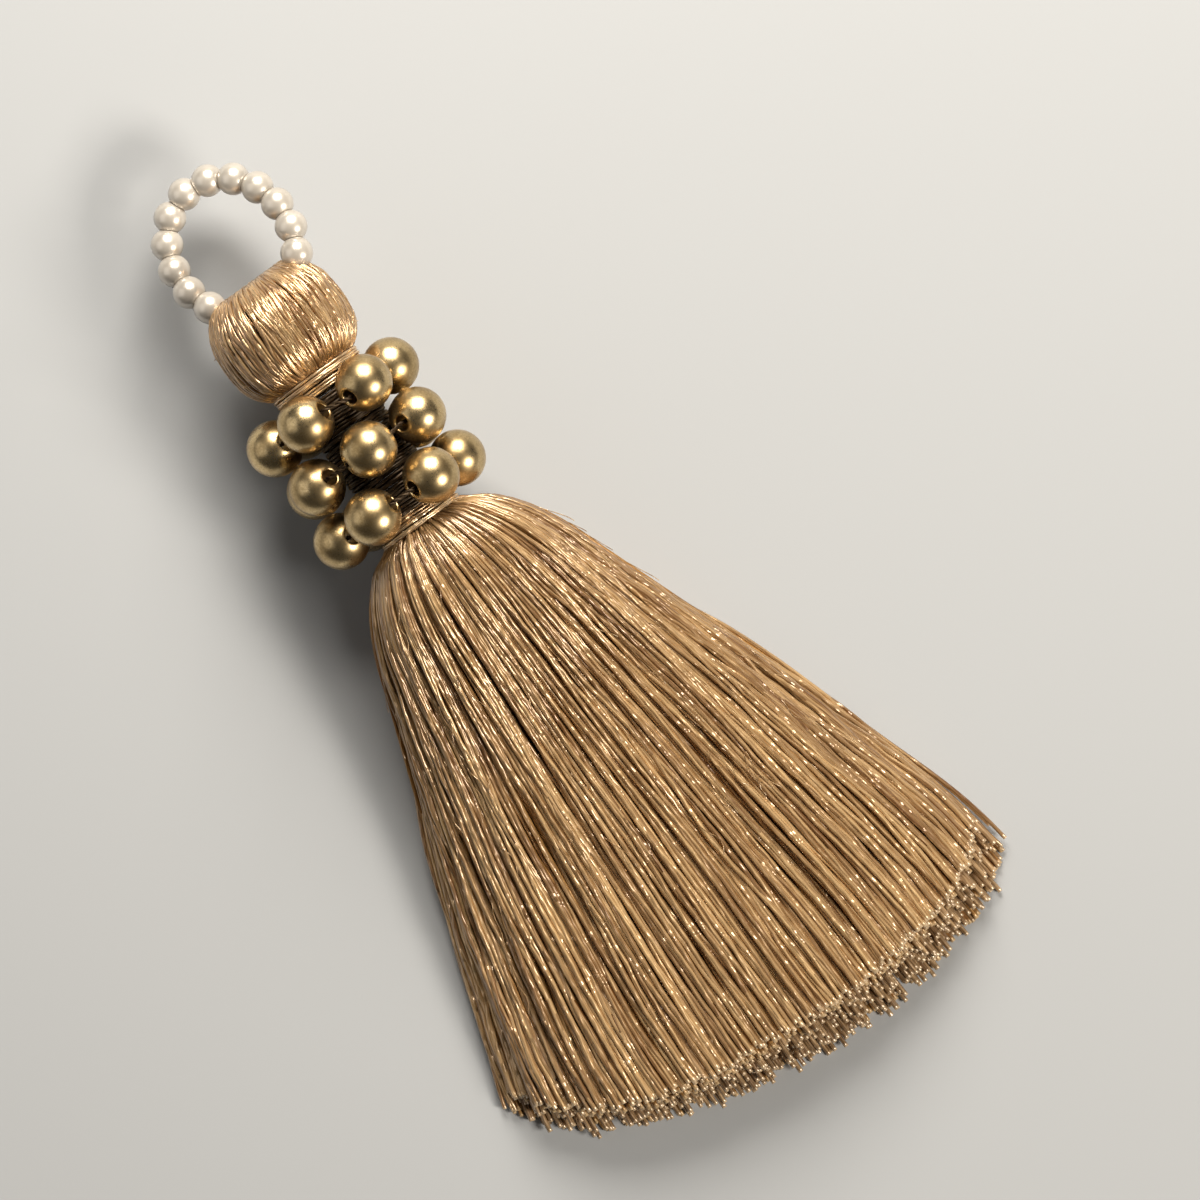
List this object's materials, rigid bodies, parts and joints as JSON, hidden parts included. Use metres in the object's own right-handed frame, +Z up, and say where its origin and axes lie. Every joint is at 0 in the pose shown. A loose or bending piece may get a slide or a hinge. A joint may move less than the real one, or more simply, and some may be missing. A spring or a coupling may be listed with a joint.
{
  "type": "silk tassel",
  "caption": "Silk tassel lying flat: folded head with a pearl hanging loop, bound neck with a collar of brass beads, and a fanned skirt of silk threads cut off square.",
  "frame": {"origin": "on the surface that the tassel lies on, under the middle of its bounding box", "axes": "+Y along the tassel towards its pearl loop, +X across the skirt, +Z up from the surface"},
  "size_m": [0.0486, 0.0953, 0.0173],
  "materials": {
    "silk": "glossy golden tan silk thread",
    "binding_silk": "glossy wound silk thread",
    "brass": "polished antique brass",
    "pearl": "lustrous white pearl",
    "thread": "matt brown stringing thread"
  },
  "bodies": {
    "root": {"silk_hank": "silk", "upper_binding": "binding_silk", "lower_binding": "binding_silk", "brass_bead_1_1": "brass", "brass_bead_1_2": "brass", "brass_bead_1_3": "brass", "brass_bead_1_4": "brass", "brass_bead_1_5": "brass", "brass_bead_1_6": "brass", "brass_bead_2_1": "brass", "brass_bead_2_2": "brass", "brass_bead_2_3": "brass", "brass_bead_2_4": "brass", "brass_bead_2_5": "brass", "brass_bead_2_6": "brass", "brass_bead_3_1": "brass", "brass_bead_3_2": "brass", "brass_bead_3_3": "brass", "brass_bead_3_4": "brass", "brass_bead_3_5": "brass", "brass_bead_3_6": "brass", "bead_thread_1": "thread", "bead_thread_2": "thread", "bead_thread_3": "thread", "pearl_01": "pearl", "pearl_02": "pearl", "pearl_03": "pearl", "pearl_04": "pearl", "pearl_05": "pearl", "pearl_06": "pearl", "pearl_07": "pearl", "pearl_08": "pearl", "pearl_09": "pearl", "pearl_10": "pearl", "pearl_11": "pearl", "pearl_12": "pearl", "loop_thread": "thread"}
  },
  "joints": []
}
